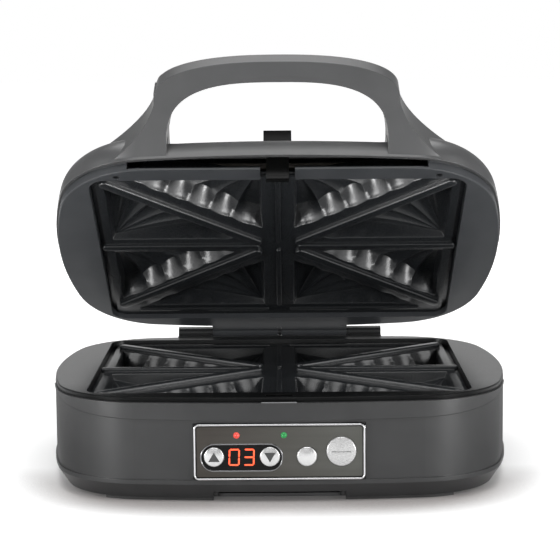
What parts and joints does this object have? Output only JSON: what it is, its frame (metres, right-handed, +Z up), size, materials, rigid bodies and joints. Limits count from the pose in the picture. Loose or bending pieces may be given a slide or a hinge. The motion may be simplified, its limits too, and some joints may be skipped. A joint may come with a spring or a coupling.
{
  "type": "sandwich toaster",
  "caption": "Countertop toasted-sandwich maker: hinged lid with arched handle and slide latch, fluted non-stick pocket plates, front panel with digit window, lamps and keys.",
  "frame": {"origin": "centre of the footprint of the whole part with the lid open as pictured, on the floor under the feet", "axes": "+X to the right seen from the front, +Y to the back where the hinge is, +Z up"},
  "size_m": [0.372, 0.3052, 0.3397],
  "materials": {
    "shell_plastic": "satin dark charcoal moulding",
    "under_plastic": "plain dark moulding",
    "foot_rubber": "matt black",
    "grey_rubber": "matt black",
    "screw_steel": "plain steel",
    "nonstick_casting": "glossy black non-stick coating on cast aluminium",
    "heater_steel": "heat-stained tube",
    "sensor_steel": "plain steel can",
    "shield_sheet": "bright rolled sheet",
    "bright_trim": "polished bright plating",
    "fascia_lacquer": "gunmetal lacquer",
    "smoked_lens": "glossy black lens",
    "display_body": "matt black",
    "circuit_board": "green laminate",
    "red_lens": "clear red lens",
    "green_lens": "clear green lens",
    "silver_keys": "silver lacquer",
    "latch_plastic": "glossy black"
  },
  "bodies": {
    "base": {"base_housing": "shell_plastic", "bottom_cover": "under_plastic", "bottom_screws": "screw_steel", "rubber_feet": "foot_rubber", "base_deck": "shell_plastic", "latch_keeper": "screw_steel", "deck_screws": "screw_steel", "hinge_pin": "screw_steel", "lower_plate": "nonstick_casting", "lower_heater": "heater_steel", "lower_sensor": "sensor_steel", "lower_heat_shield": "shield_sheet", "lower_shield_screws": "screw_steel", "lower_plate_screws": "screw_steel", "fascia_frame": "bright_trim", "control_fascia": "fascia_lacquer", "window_trim": "bright_trim", "display_window": "smoked_lens", "display_module": "display_body", "control_board": "circuit_board", "board_screws": "screw_steel", "tact_switches": "display_body", "power_lamp": "red_lens", "ready_lamp": "green_lens", "power_board": "circuit_board", "heater_relays": "display_body", "cord_gland": "grey_rubber"},
    "lid": {"lid_deck": "shell_plastic", "lid_screws": "screw_steel", "lid_cover": "shell_plastic", "upper_plate": "nonstick_casting", "upper_heater": "heater_steel", "upper_sensor": "sensor_steel", "upper_heat_shield": "shield_sheet", "upper_shield_screws": "screw_steel", "upper_plate_screws": "screw_steel"},
    "latch": {"latch_slider": "latch_plastic"},
    "up_button": {"up_button": "silver_keys"},
    "down_button": {"down_button": "silver_keys"},
    "more_button": {"more_button": "silver_keys"},
    "start_button": {"start_button": "silver_keys"}
  },
  "joints": [
    {"name": "lid_hinge", "type": "hinge", "parent": "base", "child": "lid", "pos_m": [0, 0.14741, 0.0835], "axis": [-1, 0, 0], "range_deg": [-35.63, 69.37]},
    {"name": "latch_slide", "type": "slide", "parent": "lid", "child": "latch", "axis": [0, -0.8128, 0.5825], "range_m": [0, 0.0035]},
    {"name": "up_button_press", "type": "slide", "parent": "base", "child": "up_button", "axis": [0, 1, 0], "range_m": [0, 0.0012], "stiffness_N_per_m": 700},
    {"name": "down_button_press", "type": "slide", "parent": "base", "child": "down_button", "axis": [0, 1, 0], "range_m": [0, 0.0012], "stiffness_N_per_m": 700},
    {"name": "more_button_press", "type": "slide", "parent": "base", "child": "more_button", "axis": [0, 1, 0], "range_m": [0, 0.0012], "stiffness_N_per_m": 700},
    {"name": "start_button_press", "type": "slide", "parent": "base", "child": "start_button", "axis": [0, 1, 0], "range_m": [0, 0.0012], "stiffness_N_per_m": 700}
  ]
}
